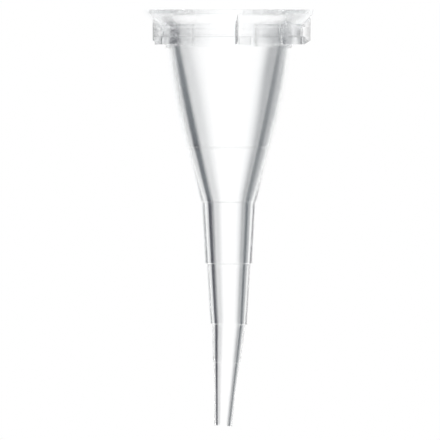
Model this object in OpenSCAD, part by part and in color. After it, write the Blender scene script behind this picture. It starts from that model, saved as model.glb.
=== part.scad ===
// Graduated micro pipette tip, moulded in one piece from clear polypropylene.
// The tip points down, with its mouth at the top. The origin is on the axis,
// where the straight sealing land of the socket begins below its lead-in.
// All sizes are in millimetres, and every depth is measured down from the rim.

/* [Overall] */
// Length from the rim to the open end of the point
tip_l = 31.5; // [26:0.5:38]
// Diameter of the pipette nozzle that the socket grips
nozzle_d = 7.64; // [6.36:0.02:9.18]
// Interference of the press fit, on diameter
grip = 0.04; // [0.02:0.01:0.08]

/* [Mouth and rim] */
// Depth of the tapered lead-in, and of the flare outside it
lead_in_h = 1.1; // [0.8:0.1:1.4]
// How far the lead-in opens out at the mouth, on each side
lead_in_w = 0.7; // [0.5:0.02:0.86]
// Width of the flat rim
rim_w = 2; // [1.6:0.1:2.4]
// Height of the upright band around the rim
rim_h = 0.3; // [0.1:0.05:0.4]

/* [Collar] */
// Wall between the socket and the outside, just below the collar
neck_wall = 1; // [0.82:0.02:1.2]
// How far the collar's waist stands out from the neck
waist_out = 0.65; // [0.5:0.01:0.78]
// How far the two rings stand out from the waist
ring_out = 0.15; // [0.1:0.01:0.25]
// Height of the upper ring, which ends the flare
upper_ring_h = 0.22; // [0.15:0.01:0.4]
// Height of the waist between the rings
waist_h = 0.73; // [0.5:0.01:1]
// Height of the lower ring, which sits on a rack
lower_ring_h = 0.6; // [0.4:0.05:0.8]

/* [Ribs] */
// Number of ribs around the collar
rib_n = 5; // [3:1:9]
// How far a rib's edge stands out from the rings
rib_out = 0.7; // [0.5:0.05:0.8]
// Width of a rib where it meets the waist
rib_w = 0.3; // [0.2:0.02:0.5]
// Width of a rib's blunt edge
rib_edge_w = 0.08; // [0.05:0.01:0.15]
// Turn of the first rib from the front
rib_turn = 6.6; // [0:0.1:72]
// Height of the slant that ends a rib at the collar's underside
rib_slant_h = 0.1; // [0.05:0.05:0.3]

/* [Pad] */
// Width of the small pad on the lower ring, beside the first rib
pad_w = 0.9; // [0.5:0.05:1.2]
// How far the pad stands out from the ring
pad_out = 0.1; // [0.05:0.01:0.2]
// Turn of the pad's middle from the front
pad_turn = 12.6; // [10:0.1:20]

/* [Bore] */
// How far the upper bore bulges past a straight cone, on each side
bore_belly = 0.07; // [0:0.005:0.1]
// Diameter of the bore at the second graduation, where its slope changes
stem_bore_d = 2.54; // [2.1:0.02:3.06]
// How far the lower bore bulges past a straight cone, on each side
stem_belly = 0.05; // [0:0.005:0.08]
// Diameter of the orifice
orifice_d = 0.84; // [0.7:0.02:1.02]
// Wall around the orifice
end_wall = 0.28; // [0.23:0.01:0.34]

/* [First graduation] */
// Wall just above the graduation
wall_1 = 1.09; // [0.9:0.01:1.31]
// Step in from above to below the graduation, on each side
step_1 = 0.04; // [0.02:0.01:0.1]
// How far the body above it bulges past a straight cone, on each side
belly = 0.185; // [0:0.005:0.25]

/* [Second graduation] */
// Distance below the first graduation
band_2 = 4.15; // [3.5:0.05:5]
// Wall just above the graduation
wall_2 = 0.95; // [0.79:0.01:1.14]
// Step in at the graduation
step_2 = 0.07; // [0.02:0.01:0.12]

/* [Third graduation] */
// Distance below the second graduation
band_3 = 4.65; // [3.9:0.05:5.6]
// Wall just above the graduation
wall_3 = 0.8; // [0.66:0.01:0.96]
// Step in at the graduation
step_3 = 0.13; // [0.05:0.01:0.16]

/* [Fourth graduation] */
// Distance below the third graduation
band_4 = 4.6; // [3.8:0.05:5.5]
// Wall just above the graduation
wall_4 = 0.61; // [0.5:0.01:0.74]
// Step in at the graduation
step_4 = 0.13; // [0.05:0.01:0.16]

/* [Fifth graduation] */
// Distance below the fourth graduation
band_5 = 2.9; // [2.4:0.05:3.5]
// Wall just above the graduation
wall_5 = 0.41; // [0.34:0.01:0.5]
// Step in at the graduation
step_5 = 0.05; // [0.02:0.01:0.08]

/* [Point] */
// Distance from the fifth graduation to the open end
point_l = 4.8; // [4:0.1:5.8]
// Length of the point's steeper first part
knee_l = 2.1; // [1.5:0.1:2.6]
// Lean of the point below the fourth graduation
point_lean = 3.2; // [0.1:0.1:4]

/* [Hidden] */
$fn = 96;

// Overlap that carries a cut clear of a face, or a join into its neighbour
lap = 0.2;
// Number of straight stretches that draw each curved taper
taper_steps = 12;
// Step in the bore's radius where the leaning point joins the straight stem
joint_ledge = 0.03;

// Diameters, from the socket outwards
land_d = nozzle_d - grip;
mouth_d = land_d + 2 * lead_in_w;
rim_d = mouth_d + 2 * rim_w;
neck_d = land_d + 2 * neck_wall;
waist_d = neck_d + 2 * waist_out;
ring_d = waist_d + 2 * ring_out;
rib_d = ring_d + 2 * rib_out;

// Depths, from the rim down
upper_ring_low = lead_in_h + upper_ring_h;
lower_ring_top = upper_ring_low + waist_h;
collar_h = lower_ring_top + lower_ring_h;
mark_5 = tip_l - point_l;
mark_4 = mark_5 - band_5;
mark_3 = mark_4 - band_4;
mark_2 = mark_3 - band_3;
mark_1 = mark_2 - band_2;

// Height in the part's frame of a depth below the rim
function at_depth(depth) = lead_in_h - depth;

// Outline point of a diameter at a depth
function ring_at(d, depth) = [d / 2, at_depth(depth)];

// Straight run between the values a and b for a share t of the way
function between(a, b, t) = a + (b - a) * t;

// Diameter a share t of the way along a taper that bulges past a straight cone
function bulged(d_1, d_2, bulge, t) = between(d_1, d_2, t) + 8 * bulge * t * (1 - t);

// Diameter of the bore at a depth below the collar
function bore_at(depth) =
    depth < mark_2
        ? bulged(land_d, stem_bore_d, bore_belly, (depth - collar_h) / (mark_2 - collar_h))
        : bulged(stem_bore_d, orifice_d, stem_belly, (depth - mark_2) / (tip_l - mark_2));

// Outline points just above and just below a graduation
function mark_step(depth, wall, step) = [
    ring_at(bore_at(depth) + 2 * wall, depth),
    ring_at(bore_at(depth) + 2 * (wall - step), depth)
];

// Curved taper from the collar to the first graduation
function body_curve() = [
    for (i = [0:taper_steps - 1])
        let (t = i / taper_steps)
        ring_at(
            bulged(neck_d, bore_at(mark_1) + 2 * wall_1, belly, t),
            between(collar_h, mark_1, t)
        )
];

// Curved taper of the bore from just below one depth down to another
function bore_curve(top, low) = [
    for (i = [1:taper_steps])
        let (depth = between(top, low, i / taper_steps))
        ring_at(bore_at(depth), depth)
];

// Outside of the collar: rim, flare, two rings and the waist between them
module collar_outside() {
    rotate_extrude()
        polygon([
            ring_at(0, 0),
            ring_at(rim_d, 0),
            ring_at(rim_d, rim_h),
            ring_at(ring_d, lead_in_h),
            ring_at(ring_d, upper_ring_low),
            ring_at(waist_d, upper_ring_low),
            ring_at(waist_d, lower_ring_top),
            ring_at(ring_d, lower_ring_top),
            ring_at(ring_d, collar_h),
            ring_at(0, collar_h)
        ]);
}

// Space that a rib may fill, cut off by a slant at the collar's underside
module rib_space() {
    rotate_extrude()
        polygon([
            ring_at(0, 0),
            ring_at(rib_d + 1, 0),
            ring_at(rib_d + 1, collar_h - rib_slant_h),
            ring_at(ring_d, collar_h),
            ring_at(0, collar_h)
        ]);
}

// One rib, a ridge that runs from the flare to the collar's underside
module rib() {
    root = neck_d / 2 - lap;
    wall = waist_d / 2;
    edge = rib_d / 2;
    intersection() {
        rib_space();
        translate([0, 0, at_depth(collar_h)])
            linear_extrude(collar_h)
                polygon([
                    [-rib_w / 2, root],
                    [-rib_w / 2, wall],
                    [-rib_edge_w / 2, edge],
                    [rib_edge_w / 2, edge],
                    [rib_w / 2, wall],
                    [rib_w / 2, root]
                ]);
    }
}

module ribs() {
    for (i = [0:rib_n - 1])
        rotate(180 + rib_turn + i * 360 / rib_n)
            rib();
}

// Small flat pad on the lower ring
module pad() {
    rotate(180 + pad_turn)
        translate([-pad_w / 2, ring_d / 2 - lap, at_depth(collar_h)])
            cube([pad_w, lap + pad_out, lower_ring_h]);
}

// Body and stem down to the fourth graduation
module shaft_outside() {
    rotate_extrude()
        polygon(concat(
            [ring_at(0, collar_h - lap), ring_at(neck_d, collar_h - lap)],
            body_curve(),
            mark_step(mark_1, wall_1, step_1),
            mark_step(mark_2, wall_2, step_2),
            mark_step(mark_3, wall_3, step_3),
            [ring_at(bore_at(mark_4) + 2 * wall_4, mark_4), ring_at(0, mark_4)]
        ));
}

// Point below the fourth graduation, before it leans
module point_outside() {
    top_d = bore_at(mark_4) + 2 * (wall_4 - step_4);
    knee = mark_5 + knee_l;
    rotate_extrude()
        polygon(concat(
            [ring_at(0, mark_4 - lap), ring_at(top_d, mark_4 - lap), ring_at(top_d, mark_4)],
            mark_step(mark_5, wall_5, step_5),
            [
                ring_at(bore_at(knee) + 2 * end_wall, knee),
                ring_at(orifice_d + 2 * end_wall, tip_l),
                ring_at(0, tip_l)
            ]
        ));
}

// Mouth, sealing land and bore down to the fourth graduation
module shaft_bore() {
    rotate_extrude()
        polygon(concat(
            [
                ring_at(0, -lap),
                ring_at(mouth_d, -lap),
                ring_at(mouth_d, 0),
                ring_at(land_d, lead_in_h),
                ring_at(land_d, collar_h)
            ],
            bore_curve(collar_h, mark_2),
            bore_curve(mark_2, mark_4),
            [ring_at(0, mark_4)]
        ));
}

// Bore of the point, before it leans
module point_bore() {
    top_d = bore_at(mark_4) - 2 * joint_ledge;
    rotate_extrude()
        polygon(concat(
            [ring_at(0, mark_4 - lap), ring_at(top_d, mark_4 - lap), ring_at(top_d, mark_4)],
            bore_curve(mark_4, tip_l),
            [ring_at(orifice_d, tip_l + lap), ring_at(0, tip_l + lap)]
        ));
}

// Leans its children about the point of the axis at the fourth graduation
module leaning() {
    translate([0, 0, at_depth(mark_4)])
        rotate([0, point_lean, 0])
            translate([0, 0, -at_depth(mark_4)])
                children();
}

module pipette_tip() {
    color([0.93, 0.96, 0.96, 0.5])
        difference() {
            union() {
                collar_outside();
                ribs();
                pad();
                shaft_outside();
                leaning() point_outside();
            }
            shaft_bore();
            leaning() point_bore();
        }
}

pipette_tip();
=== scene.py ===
import math

import bmesh
import bpy
from bpy.props import FloatProperty, FloatVectorProperty, IntProperty, PointerProperty
from mathutils import Matrix, Vector


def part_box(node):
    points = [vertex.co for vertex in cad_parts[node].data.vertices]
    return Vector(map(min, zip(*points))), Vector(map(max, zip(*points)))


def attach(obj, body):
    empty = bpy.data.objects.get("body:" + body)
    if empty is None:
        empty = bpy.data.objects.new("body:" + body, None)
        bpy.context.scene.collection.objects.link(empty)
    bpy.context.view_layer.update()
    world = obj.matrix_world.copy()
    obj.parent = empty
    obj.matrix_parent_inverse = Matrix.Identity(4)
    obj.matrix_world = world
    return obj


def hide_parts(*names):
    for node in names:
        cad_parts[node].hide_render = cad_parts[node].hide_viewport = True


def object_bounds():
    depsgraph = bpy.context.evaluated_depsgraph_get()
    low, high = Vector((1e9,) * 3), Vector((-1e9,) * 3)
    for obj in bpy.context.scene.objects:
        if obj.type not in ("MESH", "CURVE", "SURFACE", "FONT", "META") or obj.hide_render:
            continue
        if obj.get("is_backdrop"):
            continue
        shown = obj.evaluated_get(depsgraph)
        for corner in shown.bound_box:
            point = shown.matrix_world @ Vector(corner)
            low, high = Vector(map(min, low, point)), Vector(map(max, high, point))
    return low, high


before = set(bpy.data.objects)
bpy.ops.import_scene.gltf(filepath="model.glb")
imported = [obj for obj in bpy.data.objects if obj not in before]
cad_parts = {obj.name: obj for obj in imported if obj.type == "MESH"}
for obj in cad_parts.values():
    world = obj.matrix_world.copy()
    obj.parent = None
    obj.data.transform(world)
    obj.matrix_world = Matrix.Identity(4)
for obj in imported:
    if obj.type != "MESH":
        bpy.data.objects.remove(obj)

bl_info = {
    "name": "Clear pipette tip",
    "version": (1, 0, 0),
    "blender": (4, 5, 0),
    "location": "View3D > Sidebar > Pipette tip",
    "description": "Builds a clear, graduated pipette tip and a plain studio around it",
    "category": "Object",
}

MM = 0.001
TIP_NODE = "pipette_tip"


def length(name, description, millimetres):
    """A size property whose default is given in millimetres."""
    return FloatProperty(
        name=name,
        description=description,
        default=millimetres * MM,
        min=0.0,
        unit="LENGTH",
        precision=5,
    )


def lengths(name, description, *millimetres):
    """A row of sizes whose defaults are given in millimetres."""
    return FloatVectorProperty(
        name=name,
        description=description,
        size=len(millimetres),
        default=[value * MM for value in millimetres],
        min=0.0,
        unit="LENGTH",
        precision=5,
    )


def angle(name, description, degrees):
    """An angle property whose default is given in degrees."""
    return FloatProperty(
        name=name,
        description=description,
        default=math.radians(degrees),
        subtype="ANGLE",
    )


def colour(name, description, *rgb):
    """A colour property."""
    return FloatVectorProperty(
        name=name,
        description=description,
        subtype="COLOR",
        size=3,
        default=rgb,
        min=0.0,
        max=1.0,
    )


def share_of_one(name, description, default):
    """A property that runs from 0 to 1."""
    return FloatProperty(
        name=name,
        description=description,
        default=default,
        min=0.0,
        max=1.0,
        subtype="FACTOR",
    )


class TipSizes(bpy.types.PropertyGroup):
    """Sizes of the moulded tip that the frame's box doesn't give"""

    tip_length: length("Tip length", "Length from the rim to the open end", 31.5)
    land_radius: length("Land radius", "Radius of the straight sealing land", 3.8)
    lead_in_height: length("Lead-in height", "Depth of the lead-in and the flare", 1.1)
    mouth_radius: length("Mouth radius", "Radius of the lead-in at the rim", 4.5)
    rim_height: length("Rim height", "Height of the upright band around the rim", 0.3)
    ring_radius: length("Ring radius", "Radius of the collar's two rings", 5.6)
    waist_radius: length("Waist radius", "Radius of the wall between the rings", 5.45)
    upper_ring_height: length("Upper ring", "Height of the ring below the flare", 0.22)
    waist_height: length("Waist height", "Height of the wall between the rings", 0.73)
    lower_ring_height: length("Lower ring", "Height of the ring that sits on a rack", 0.6)
    neck_radius: length("Neck radius", "Radius of the body just below the collar", 4.8)
    rib_count: IntProperty(name="Ribs", description="Ribs around the collar", default=5, min=1)
    rib_radius: length("Rib radius", "Radius at the ribs' edges", 6.3)
    rib_width: length("Rib width", "Width of a rib where it meets the waist", 0.3)
    rib_edge: length("Rib edge", "Width of a rib's blunt edge", 0.08)
    rib_slant: length("Rib slant", "Height of the slant at a rib's foot", 0.1)
    rib_turn: angle("Rib turn", "Turn of the first rib from the front", 6.6)
    pad_width: length("Pad width", "Width of the small pad on the lower ring", 0.9)
    pad_out: length("Pad height", "How far the pad stands out from the ring", 0.1)
    pad_turn: angle("Pad turn", "Turn of the pad's middle from the front", 12.6)
    bore_belly: length("Bore belly", "How far the bore bulges past a straight cone", 0.07)
    stem_bore_radius: length("Stem bore", "Radius of the bore at the second graduation", 1.27)
    stem_belly: length("Stem belly", "How far the lower bore bulges past a cone", 0.05)
    orifice_radius: length("Orifice", "Radius of the open end's bore", 0.42)
    end_wall: length("End wall", "Wall around the orifice", 0.28)
    walls: lengths("Walls", "Wall just above each graduation", 1.09, 0.95, 0.80, 0.61, 0.41)
    steps: lengths("Steps", "Step in at each graduation", 0.04, 0.07, 0.13, 0.13, 0.05)
    bands: lengths("Bands", "Distance from each graduation to the next", 4.15, 4.65, 4.60, 2.90)
    point_length: length("Point", "Length below the last graduation", 4.8)
    knee_length: length("Knee", "Length from the last graduation to the point's knee", 2.1)
    belly: length("Belly", "How far the body bulges past a straight cone", 0.185)
    lean: angle("Lean", "Lean of the point below the fourth graduation", 3.2)
    lean_ease: length("Lean ease", "Length over which the lean eases in", 1.2)
    edge_round: length("Edge rounding", "Radius of the moulded edges", 0.04)


class TipFinishAndShade(bpy.types.PropertyGroup):
    """Finish of the clear plastic, with the painted shade of its moulded lines, rib edges and
    pad
    """

    tint: colour("Tint", "Colour that a thick piece of the plastic takes", 0.92, 0.94, 0.95)
    tint_density: FloatProperty(
        name="Tint density",
        description="How strongly the plastic takes its tint, per metre",
        default=120.0,
        min=0.0,
    )
    ior: FloatProperty(
        name="Index of refraction",
        description="Index of refraction of polypropylene",
        default=1.49,
        min=1.0,
    )
    roughness: share_of_one("Roughness", "Roughness of the moulded surface", 0.12)
    collar_body: share_of_one("Collar body", "How solid the top of the collar looks", 0.85)
    collar_fade: length("Collar fade", "Depth below it where the tip looks fully solid", 2.4)
    rim_body: share_of_one("Rim body", "How solid the rim looks, against the collar", 0.6)
    rim_fade: length("Rim fade", "Height over which the rim's look fades in", 0.3)
    outline_start: share_of_one("Outline start", "Slant at which the outline thins out", 0.38)
    outline_end: share_of_one("Outline end", "Slant at which the outline is gone", 0.74)
    # Painted shade: grey lines round the outside at the graduations and the lower ring's top
    # edge, where refraction at the moulded steps darkens the light
    line_width: length("Line width", "Width of the moulded lines round the tip", 0.1)
    line_shade_tone: colour("Line tone", "Colour of the moulded lines", 0.82, 0.82, 0.82)
    # Painted shade: grey on the ribs' outer halves and on the pad, where refraction through
    # them darkens the light
    rib_pad_shade_tone: colour("Edge tone", "Colour of the ribs' edges and the pad", 0.66, 0.66, 0.66)
    slope_ease: FloatProperty(
        name="Slope ease",
        description="How much flatter the light finds the surface's slopes",
        default=1.9,
        min=1.0,
    )


class StageLook(bpy.types.PropertyGroup):
    """Floor, backdrop and camera"""

    floor_colour: colour("Floor colour", "Colour of the plain floor", 0.9, 0.9, 0.9)
    floor_gap: length("Floor gap", "Gap between the hanging point and the floor", 6.0)
    frame_height: length("Frame height", "Height that the camera's frame covers", 33.264)
    frame_margin: length("Frame margin", "Gap between the rim and the frame's top", 0.718)
    frame_offset: length("Frame offset", "How far right of the middle the tip stands", 0.66)
    camera_distance: length("Camera distance", "Distance of the camera from the tip", 300.0)
    floor_width: length("Floor width", "Width of the square floor", 6000.0)


# Stretches in each long curve of the outline, and plain points round each ring
BODY_STEPS = 24
RING_POINTS = 240
LONGEST_STRETCH = 0.4 * MM
# Corners that turn less than this aren't rounded
LEAST_CORNER = math.radians(12)
# Most of a straight stretch that one corner's rounding may take up
MOST_ROUNDED = 0.45
# Edges that turn more than this stay crisp in the shading
CRISP_EDGE = math.radians(38)
# Points this close to each other are one point
SAME_POINT = 0.0005 * MM
NO_LENGTH = 0.0002 * MM
# A rib's last close point and the first plain one after it, in half widths of its root
RIB_CLEAR = 1.25
PLAIN_FROM = 1.6
# Points up to this many half widths of its root from its middle belong to a rib
RIB_REACH = 1.01
# Angle over which the pad's sides rise, and the slack in telling its points apart
PAD_SIDE_ANGLE = math.radians(0.04)
PAD_SLACK = math.radians(0.01)
# The last stretch of the length, which counts as the open end
END_SLACK = 0.01 * MM
# Graduations from the top down that get a painted shade line
SHADE_LINED_GRADUATIONS = 3
# Share of the ribs' painted shade on the small pad and on its free side
PAD_SHADE = 0.6
PAD_SIDE_SHADE = 1.0
# Share of the pad's half width beyond which its free side starts
PAD_SIDE_START = 0.9


def between(a, b, share):
    """The value a share of the way from a to b."""
    return a + (b - a) * share


def bulged(a, b, share, belly):
    """As between, with a bulge that is greatest half way."""
    return between(a, b, share) + 4 * belly * share * (1 - share)


class Profile:
    """Depths below the rim and outline of the tip, worked out from its sizes."""

    def __init__(self, sizes, rim_radius):
        self.sizes = sizes
        self.rim_radius = rim_radius
        self.upper_ring_low = sizes.lead_in_height + sizes.upper_ring_height
        self.lower_ring_top = self.upper_ring_low + sizes.waist_height
        self.collar = self.lower_ring_top + sizes.lower_ring_height
        # The body above the first graduation takes up what is left of the length
        depth = sizes.tip_length - sizes.point_length
        self.marks = [depth]
        for band in reversed(sizes.bands):
            depth -= band
            self.marks.insert(0, depth)

    def bore(self, depth):
        """Radius of the bore at a depth below the collar."""
        s = self.sizes
        change = self.marks[1]
        if depth < change:
            share = (depth - self.collar) / (change - self.collar)
            return bulged(s.land_radius, s.stem_bore_radius, share, s.bore_belly)
        share = (depth - change) / (s.tip_length - change)
        return bulged(s.stem_bore_radius, s.orifice_radius, share, s.stem_belly)

    def outside(self):
        """Outline points (radius, depth) from the rim down to the open end."""
        s = self.sizes
        points = [
            (self.rim_radius, 0.0),
            (self.rim_radius, s.rim_height),
            (s.ring_radius, s.lead_in_height),
            (s.ring_radius, self.upper_ring_low),
            (s.waist_radius, self.upper_ring_low),
            (s.waist_radius, self.lower_ring_top),
            (s.ring_radius, self.lower_ring_top),
            (s.ring_radius, self.collar),
        ]
        first = self.marks[0]
        low = self.bore(first) + s.walls[0]
        for i in range(BODY_STEPS):
            share = i / BODY_STEPS
            radius = bulged(s.neck_radius, low, share, s.belly)
            points.append((radius, between(self.collar, first, share)))
        for depth, wall, step in zip(self.marks, s.walls, s.steps):
            bore = self.bore(depth)
            points.append((bore + wall, depth))
            points.append((bore + wall - step, depth))
        knee = self.marks[-1] + s.knee_length
        points.append((self.bore(knee) + s.end_wall, knee))
        points.append((s.orifice_radius + s.end_wall, s.tip_length))
        return points

    def inside(self):
        """Outline points (radius, depth) from the open end up to the mouth."""
        s = self.sizes
        points = [(s.orifice_radius, s.tip_length)]
        for i in range(1, BODY_STEPS):
            depth = between(s.tip_length, self.marks[1], i / BODY_STEPS)
            points.append((self.bore(depth), depth))
        for i in range(BODY_STEPS):
            depth = between(self.marks[1], self.collar, i / BODY_STEPS)
            points.append((self.bore(depth), depth))
        points.append((s.land_radius, self.collar))
        points.append((s.land_radius, s.lead_in_height))
        points.append((s.mouth_radius, 0.0))
        return points


def rounded(points, radius, steps=3):
    """The closed outline with each of its corners rounded."""
    made = []
    count = len(points)
    for i in range(count):
        before, here, after = (Vector(points[(i + k) % count]) for k in (-1, 0, 1))
        to_before, to_after = before - here, after - here
        turn = math.pi - to_before.angle(to_after)
        if turn < LEAST_CORNER:
            made.append(here)
            continue
        cut = min(
            radius * math.tan(turn / 2),
            MOST_ROUNDED * to_before.length,
            MOST_ROUNDED * to_after.length,
        )
        start = here + to_before.normalized() * cut
        end = here + to_after.normalized() * cut
        for k in range(steps + 1):
            t = k / steps
            made.append(start.lerp(here, t).lerp(here.lerp(end, t), t))
    return made


def spaced(points, longest):
    """The closed outline with no stretch longer than given."""
    made = []
    for a, b in zip(points, points[1:] + points[:1]):
        parts = max(1, math.ceil((b - a).length / longest))
        made.extend(a.lerp(b, k / parts) for k in range(parts))
    return made


def rib_ridge(sizes, off):
    """Radius of a rib's surface at an angle from the rib's middle."""
    edge = math.asin(sizes.rib_edge / 2 / sizes.rib_radius)
    root = math.asin(sizes.rib_width / 2 / sizes.waist_radius)
    if off <= edge:
        return sizes.rib_radius
    return between(sizes.rib_radius, sizes.waist_radius, (off - edge) / (root - edge))


def ring_angles(sizes):
    """Angles of a ring's points from the front, closer together at ribs and pad."""
    pitch = 2 * math.pi / sizes.rib_count
    root = math.asin(sizes.rib_width / 2 / sizes.waist_radius)
    edge = math.asin(sizes.rib_edge / 2 / sizes.rib_radius)
    near = [between(edge, root, share) for share in (0, 0.25, 0.5, 0.75, 1)]
    near.append(RIB_CLEAR * root)
    near = [-a for a in reversed(near)] + [0.0] + near
    plain = RING_POINTS // sizes.rib_count
    start, end = PLAIN_FROM * root, pitch - PLAIN_FROM * root
    angles = []
    for i in range(sizes.rib_count):
        middle = sizes.rib_turn + i * pitch
        angles += [middle + a for a in near]
        angles += [middle + between(start, end, k / plain) for k in range(plain + 1)]
    half = math.asin(sizes.pad_width / 2 / sizes.ring_radius)
    for side in (-1, 1):
        corner = sizes.pad_turn + side * half
        angles += [corner - side * PAD_SIDE_ANGLE, corner]
    return sorted(angles)


def ring_stations(profile):
    """Outline points with whether each is on the outside and is crossed by the ribs."""
    sizes = profile.sizes
    outline = rounded(profile.outside() + profile.inside(), sizes.edge_round)
    outline = spaced(outline, LONGEST_STRETCH)
    open_end = sizes.tip_length - END_SLACK
    split = next(i for i, point in enumerate(outline) if point.y >= open_end)
    foot = profile.collar
    stations = []
    for i, point in enumerate(outline):
        on_outside = i < split
        stations.append((point, on_outside, on_outside and point.y < foot))
        following = outline[(i + 1) % len(outline)]
        if on_outside and point.y < foot <= following.y:
            share = (foot - point.y) / (following.y - point.y)
            crossing = point.lerp(following, share)
            stations.append((crossing, True, True))
            stations.append((crossing, True, False))
    return stations


def leaned(profile, mesh):
    """Lean the point to one side, easing in over a short stretch."""
    sizes = profile.sizes
    pivot = Vector((0, 0, sizes.lead_in_height - profile.marks[3]))
    for vert in mesh.verts:
        depth = pivot.z - vert.co.z + sizes.lean_ease / 2
        if depth <= 0:
            continue
        share = min(1.0, depth / sizes.lean_ease)
        turn = Matrix.Rotation(sizes.lean * share, 4, "Y")
        vert.co = pivot + turn @ (vert.co - pivot)


def tip_mesh(profile, slope_ease):
    """Mesh of the whole tip, with its bore, ribs, pad and lean."""
    sizes = profile.sizes
    angles = ring_angles(sizes)
    pitch = 2 * math.pi / sizes.rib_count
    pad_half = math.asin(sizes.pad_width / 2 / sizes.ring_radius) - PAD_SLACK
    rib_root = math.asin(sizes.rib_width / 2 / sizes.waist_radius)
    mesh = bmesh.new()
    outside = mesh.verts.layers.float.new("outside")
    thin_outline = mesh.verts.layers.float.new("thin_outline")
    # Share of painted shade at each point, on the ribs' outer halves and on the pad, where
    # refraction darkens them
    rib_pad_shade = mesh.verts.layers.float.new("rib_pad_shade")
    rings = []
    for point, on_outside, ribbed in ring_stations(profile):
        on_ring = ribbed and abs(point.x - sizes.ring_radius) < sizes.edge_round
        padded = on_ring and point.y >= profile.lower_ring_top
        in_collar = sizes.lead_in_height < point.y < profile.collar + sizes.edge_round
        ring = []
        for angle in angles:
            radius = point.x
            on_rib, shade_share = False, 0.0
            if ribbed:
                off = (angle - sizes.rib_turn + pitch / 2) % pitch - pitch / 2
                share = max(0.0, (point.y - profile.collar) / sizes.rib_slant + 1)
                slant = between(sizes.rib_radius, sizes.ring_radius, share)
                radius = max(radius, min(rib_ridge(sizes, abs(off)), slant))
                on_rib = abs(off) < RIB_REACH * rib_root
                # The painted shade grows over the outer half of the rib
                height_share = (radius - point.x) / (sizes.rib_radius - sizes.ring_radius)
                shade_share = max(0.0, min(1.0, 2 * height_share - 1))
            if padded and abs(angle - sizes.pad_turn) < pad_half:
                radius += sizes.pad_out
                at_side = angle - sizes.pad_turn > PAD_SIDE_START * pad_half
                shade_share = max(shade_share, PAD_SIDE_SHADE if at_side else PAD_SHADE)
            height = sizes.lead_in_height - point.y
            place = Vector((radius * math.sin(angle), -radius * math.cos(angle), height))
            vert = mesh.verts.new(place)
            vert[outside] = float(on_outside and not on_rib)
            vert[thin_outline] = float(on_outside and not on_rib and not in_collar)
            vert[rib_pad_shade] = shade_share
            ring.append(vert)
        rings.append(ring)
    for a, b in zip(rings, rings[1:] + rings[:1]):
        for k in range(len(angles)):
            n = (k + 1) % len(angles)
            mesh.faces.new((a[k], b[k], b[n], a[n]))
    bmesh.ops.remove_doubles(mesh, verts=mesh.verts, dist=SAME_POINT)
    bmesh.ops.dissolve_degenerate(mesh, edges=mesh.edges, dist=NO_LENGTH)
    leaned(profile, mesh)
    bmesh.ops.recalc_face_normals(mesh, faces=mesh.faces)
    data = bpy.data.meshes.new("clear_tip")
    mesh.to_mesh(data)
    mesh.free()
    data.shade_smooth()
    data.set_sharp_from_angle(angle=CRISP_EDGE)
    # Flatter slopes in the shading keep light from being trapped at the wide mouth
    eased = []
    for corner in data.corner_normals:
        normal = Vector(corner.vector)
        normal.z /= slope_ease
        eased.append(normal.normalized())
    data.normals_split_custom_set(eased)
    return data


def add_node(tree, kind, inputs=None, **settings):
    """A new node with its settings, and its inputs set to values or linked."""
    node = tree.nodes.new(kind)
    for name, value in settings.items():
        setattr(node, name, value)
    for name, value in (inputs or {}).items():
        if isinstance(value, bpy.types.NodeSocket):
            tree.links.new(value, node.inputs[name])
        else:
            node.inputs[name].default_value = value
    return node


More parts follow.
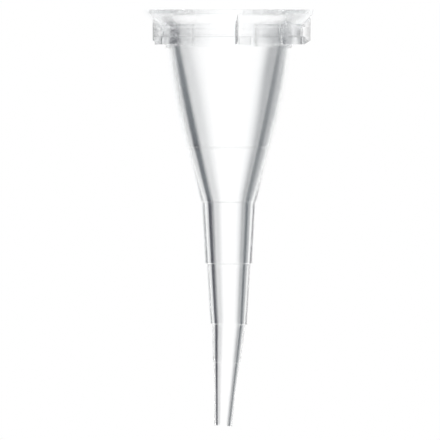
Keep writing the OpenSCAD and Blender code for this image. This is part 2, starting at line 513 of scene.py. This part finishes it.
def clear_plastic(finish, shade_line_heights, rim_low):
    """Colourless polypropylene that takes a slight cool tint where it is thick, with painted
    shade on its moulded lines, rib edges and pad.
    """
    material = bpy.data.materials.new("clear_polypropylene")
    material.use_nodes = True
    tree = material.node_tree
    tree.nodes.clear()
    place = add_node(tree, "ShaderNodeTexCoord")
    height = add_node(
        tree, "ShaderNodeSeparateXYZ", {"Vector": place.outputs["Object"]}
    ).outputs["Z"]
    outside, thin_outline, rib_pad_shade = (
        add_node(tree, "ShaderNodeAttribute", attribute_name=name).outputs["Fac"]
        for name in ("outside", "thin_outline", "rib_pad_shade")
    )

    # Painted shade: grey lines go round the outside at the given heights, and the ribs' edges
    # and the pad are painted darker, where refraction at these edges darkens the light
    line = 0.0
    for level in shade_line_heights:
        near = add_node(tree, "ShaderNodeMath", {0: height, 1: level}, operation="COMPARE")
        near.inputs[2].default_value = finish.line_width / 2
        ring = add_node(
            tree, "ShaderNodeMath", {0: near.outputs[0], 1: outside}, operation="MULTIPLY"
        )
        line = add_node(
            tree, "ShaderNodeMath", {0: line, 1: ring.outputs[0]}, operation="MAXIMUM"
        ).outputs[0]
    shade_lined = add_node(
        tree,
        "ShaderNodeMix",
        {"Factor": line, "A": (1, 1, 1, 1), "B": (*finish.line_shade_tone, 1)},
        data_type="RGBA",
    )
    shade_tone = add_node(
        tree,
        "ShaderNodeMix",
        {"Factor": rib_pad_shade, "A": shade_lined.outputs["Result"], "B": (*finish.rib_pad_shade_tone, 1)},
        data_type="RGBA",
    )

    # The thin rim and the outline pass more light than the rest
    collar = add_node(
        tree,
        "ShaderNodeMapRange",
        {
            "Value": height,
            "From Min": -finish.collar_fade,
            "From Max": 0.0,
            "To Min": 1.0,
            "To Max": finish.collar_body,
        },
        interpolation_type="SMOOTHSTEP",
    )
    rim = add_node(
        tree,
        "ShaderNodeMapRange",
        {
            "Value": height,
            "From Min": rim_low - finish.rim_fade,
            "From Max": rim_low,
            "To Min": 1.0,
            "To Max": finish.rim_body,
        },
        interpolation_type="SMOOTHSTEP",
    )
    top = add_node(
        tree, "ShaderNodeMath", {0: collar.outputs[0], 1: rim.outputs[0]}, operation="MULTIPLY"
    )
    facing = add_node(tree, "ShaderNodeLayerWeight", {"Blend": 0.5}).outputs["Facing"]
    outline = add_node(
        tree,
        "ShaderNodeMapRange",
        {"Value": facing, "From Min": finish.outline_start, "From Max": finish.outline_end},
        interpolation_type="SMOOTHSTEP",
    )
    passed = add_node(
        tree, "ShaderNodeMath", {0: outline.outputs[0], 1: thin_outline}, operation="MULTIPLY"
    )
    kept = add_node(
        tree, "ShaderNodeMath", {0: 1.0, 1: passed.outputs[0]}, operation="SUBTRACT"
    )
    body = add_node(
        tree, "ShaderNodeMath", {0: kept.outputs[0], 1: top.outputs[0]}, operation="MULTIPLY"
    )

    shader = add_node(
        tree,
        "ShaderNodeBsdfPrincipled",
        {
            "Base Color": shade_tone.outputs["Result"],
            "Transmission Weight": 1.0,
            "IOR": finish.ior,
            "Roughness": finish.roughness,
            "Alpha": body.outputs[0],
        },
    )
    depth = add_node(
        tree,
        "ShaderNodeVolumeAbsorption",
        {"Color": (*finish.tint, 1), "Density": finish.tint_density},
    )
    add_node(
        tree,
        "ShaderNodeOutputMaterial",
        {"Surface": shader.outputs[0], "Volume": depth.outputs[0]},
    )
    return material


class OF_OT_tip(bpy.types.Operator):
    """Build the moulded tip in place of its plain frame node"""

    bl_idname = "pipette.tip"
    bl_label = "Pipette tip"

    def execute(self, context):
        sizes, finish = context.scene.tip_sizes, context.scene.tip_finish
        low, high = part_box(TIP_NODE)
        profile = Profile(sizes, (high.x - low.x) / 2)
        tip = bpy.data.objects.new("clear_tip", tip_mesh(profile, finish.slope_ease))
        context.scene.collection.objects.link(tip)
        # Painted shade lines at the top graduations and at the lower ring's top edge
        depths = list(profile.marks[:SHADE_LINED_GRADUATIONS]) + [profile.lower_ring_top]
        shade_line_heights = [sizes.lead_in_height - depth for depth in depths]
        rim_low = sizes.lead_in_height - sizes.rim_height
        tip.data.materials.append(clear_plastic(finish, shade_line_heights, rim_low))
        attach(tip, "root")
        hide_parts(TIP_NODE)
        return {"FINISHED"}


# Panels round the studio: where each starts and ends by compass bearing from
# straight behind, in degrees, and its brightness. Between two panels the
# brightness blends. A bright panel stands straight behind the tip, with a grey
# one and then a black gap on either side, and dimmer panels close the room.
LOW_PANELS = (
    (-180, -150, 0.9),
    (-125, -120, 0.4),
    (-100, -85, 1.0),
    (-62, -42, 0.1),
    (-30, -14, 0.75),
    (-6, 8, 1.1),
    (16, 38, 0.45),
    (48, 80, 0.2),
    (100, 130, 0.5),
    (150, 180, 0.9),
)
LEVEL_PANELS = (
    (-180, -150, 0.9),
    (-125, -120, 0.4),
    (-100, -85, 1.0),
    (-60, -38, 0.0),
    (-28, -14, 0.75),
    (-6, 8, 1.1),
    (25, 38, 0.45),
    (50, 60, 0.1),
    (70, 80, 0.4),
    (100, 130, 0.8),
    (150, 180, 0.9),
)
# Where one row of panels gives way to the other, as the height of the line of sight
ROWS_MEET = (-0.045, -0.02)
# Red and blue that a black panel gains, for a faint cool cast
COOL_RED = -0.02
COOL_BLUE = 0.018
# The darker a panel is, the higher above the horizon it reaches
PANEL_REACH = 0.2
PANEL_TOP_START = 0.03
PANEL_TOP_END = 0.11
# Heights of the line of sight over which the panels turn white far below, and
# over which they slowly fade on the way down
WHITE_BELOW = (-0.30, -0.55)
SLOW_FADE = (-0.02, -2.0)
# The room is bright overhead, and below the panels too
ROOM_WHITE = (1.1, 1.1, 1.1, 1)
FLOOR_ROUGHNESS = 0.9
# Nearest and furthest that the camera sees, in metres
CAMERA_SEES = (0.001, 10.0)


def panel_row(tree, share, panels):
    """The colours of one row of panels, by the share of a full turn."""
    row = add_node(tree, "ShaderNodeValToRGB", {"Fac": share})
    stops = row.color_ramp.elements
    stops.remove(stops[-1])
    edges = [(bearing, level) for start, end, level in panels for bearing in (start, end)]
    for i, (bearing, level) in enumerate(edges):
        at = (bearing + 180) / 360
        stop = stops[0] if i == 0 else stops.new(at)
        stop.position = at
        shade = 1 - min(level, 1)
        red, blue = level + COOL_RED * shade, level + COOL_BLUE * shade
        stop.color = (max(0.0, red), level, blue, 1)
    return row.outputs["Color"]


def studio_world():
    """White to the camera, and soft panels with darker gaps to what looks through."""
    world = bpy.data.worlds.new("studio")
    world.use_nodes = True
    tree = world.node_tree
    tree.nodes.clear()
    place = add_node(tree, "ShaderNodeTexCoord")
    way = add_node(tree, "ShaderNodeSeparateXYZ", {"Vector": place.outputs["Generated"]})
    bearing = add_node(
        tree,
        "ShaderNodeMath",
        {0: way.outputs["X"], 1: way.outputs["Y"]},
        operation="ARCTAN2",
    )
    share = add_node(
        tree,
        "ShaderNodeMapRange",
        {"Value": bearing.outputs[0], "From Min": -math.pi, "From Max": math.pi},
    )
    low_row = panel_row(tree, share.outputs[0], LOW_PANELS)
    level_row = panel_row(tree, share.outputs[0], LEVEL_PANELS)

    height = way.outputs["Z"]
    meeting = add_node(
        tree,
        "ShaderNodeMapRange",
        {"Value": height, "From Min": ROWS_MEET[0], "From Max": ROWS_MEET[1]},
        interpolation_type="SMOOTHSTEP",
    )
    panels = add_node(
        tree,
        "ShaderNodeMix",
        {"Factor": meeting.outputs[0], "A": low_row, "B": level_row},
        data_type="RGBA",
    )
    reach = add_node(
        tree,
        "ShaderNodeMath",
        {0: level_row, 1: PANEL_REACH, 2: height},
        operation="MULTIPLY_ADD",
    )
    above = (PANEL_REACH + PANEL_TOP_START, PANEL_REACH + PANEL_TOP_END)
    white_share = None
    for value, (start, end), kind in (
        (reach.outputs[0], above, "SMOOTHSTEP"),
        (height, WHITE_BELOW, "SMOOTHSTEP"),
        (height, SLOW_FADE, "LINEAR"),
    ):
        edge = add_node(
            tree,
            "ShaderNodeMapRange",
            {"Value": value, "From Min": start, "From Max": end},
            interpolation_type=kind,
        ).outputs[0]
        if white_share is not None:
            edge = add_node(
                tree, "ShaderNodeMath", {0: white_share, 1: edge}, operation="MAXIMUM"
            ).outputs[0]
        white_share = edge
    seen = add_node(
        tree,
        "ShaderNodeMix",
        {"Factor": white_share, "A": panels.outputs["Result"], "B": ROOM_WHITE},
        data_type="RGBA",
    )
    room = add_node(tree, "ShaderNodeBackground", {"Color": seen.outputs["Result"]})
    white = add_node(tree, "ShaderNodeBackground", {"Color": (1, 1, 1, 1)})
    path = add_node(tree, "ShaderNodeLightPath")
    light = add_node(
        tree,
        "ShaderNodeMixShader",
        {0: path.outputs["Is Transmission Ray"], 1: white.outputs[0], 2: room.outputs[0]},
    )
    add_node(tree, "ShaderNodeOutputWorld", {"Surface": light.outputs[0]})
    return world


def floor_material(look):
    """Plain pale floor, which the clear tip looks straight through to the studio."""
    material = bpy.data.materials.new("plain_floor")
    material.use_nodes = True
    tree = material.node_tree
    tree.nodes.clear()
    plain = add_node(
        tree,
        "ShaderNodeBsdfPrincipled",
        {"Base Color": (*look.floor_colour, 1), "Roughness": FLOOR_ROUGHNESS},
    )
    clear = add_node(tree, "ShaderNodeBsdfTransparent")
    path = add_node(tree, "ShaderNodeLightPath")
    surface = add_node(
        tree,
        "ShaderNodeMixShader",
        {0: path.outputs["Is Transmission Ray"], 1: plain.outputs[0], 2: clear.outputs[0]},
    )
    add_node(tree, "ShaderNodeOutputMaterial", {"Surface": surface.outputs[0]})
    return material


class OF_OT_stage(bpy.types.Operator):
    """Build the floor, the studio and the camera"""

    bl_idname = "pipette.stage"
    bl_label = "Stage"

    def execute(self, context):
        scene = context.scene
        look = scene.stage_look
        low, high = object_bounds()
        level = low.z - look.floor_gap
        half = look.floor_width / 2
        corners = [(-half, -half), (half, -half), (half, half), (-half, half)]
        floor_data = bpy.data.meshes.new("floor")
        floor_data.from_pydata([(x, y, level) for x, y in corners], [], [(0, 1, 2, 3)])
        floor_data.materials.append(floor_material(look))
        floor = bpy.data.objects.new("floor", floor_data)
        scene.collection.objects.link(floor)
        floor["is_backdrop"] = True
        scene.world = studio_world()
        scene.view_settings.view_transform = "Standard"
        lens = bpy.data.cameras.new("camera")
        lens.type = "ORTHO"
        lens.ortho_scale = look.frame_height
        lens.clip_start, lens.clip_end = CAMERA_SEES
        camera = bpy.data.objects.new("camera", lens)
        scene.collection.objects.link(camera)
        middle = high.z + look.frame_margin - look.frame_height / 2
        camera.location = (-look.frame_offset, -look.camera_distance, middle)
        camera.rotation_euler = (math.radians(90), 0, 0)
        scene.camera = camera
        return {"FINISHED"}


class OF_PT_panel(bpy.types.Panel):
    """Lists the tip's sizes, its finish with its painted shade, and its builders"""

    bl_idname = "OF_PT_pipette"
    bl_label = "Pipette tip"
    bl_space_type = "VIEW_3D"
    bl_region_type = "UI"
    bl_category = "Pipette tip"

    def draw(self, context):
        scene = context.scene
        for group in (scene.tip_sizes, scene.tip_finish, scene.stage_look):
            box = self.layout.box()
            for name in group.__annotations__:
                box.prop(group, name)
        self.layout.operator(OF_OT_tip.bl_idname)
        self.layout.operator(OF_OT_stage.bl_idname)


CLASSES = (TipSizes, TipFinishAndShade, StageLook, OF_OT_tip, OF_OT_stage, OF_PT_panel)


def register():
    for made in CLASSES:
        bpy.utils.register_class(made)
    bpy.types.Scene.tip_sizes = PointerProperty(type=TipSizes)
    bpy.types.Scene.tip_finish = PointerProperty(type=TipFinishAndShade)
    bpy.types.Scene.stage_look = PointerProperty(type=StageLook)


def unregister():
    del bpy.types.Scene.stage_look
    del bpy.types.Scene.tip_finish
    del bpy.types.Scene.tip_sizes
    for made in reversed(CLASSES):
        bpy.utils.unregister_class(made)


def main():
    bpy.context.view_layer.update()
    register()
    bpy.ops.pipette.tip()
    bpy.ops.pipette.stage()


if __name__ == "__main__":
    main()
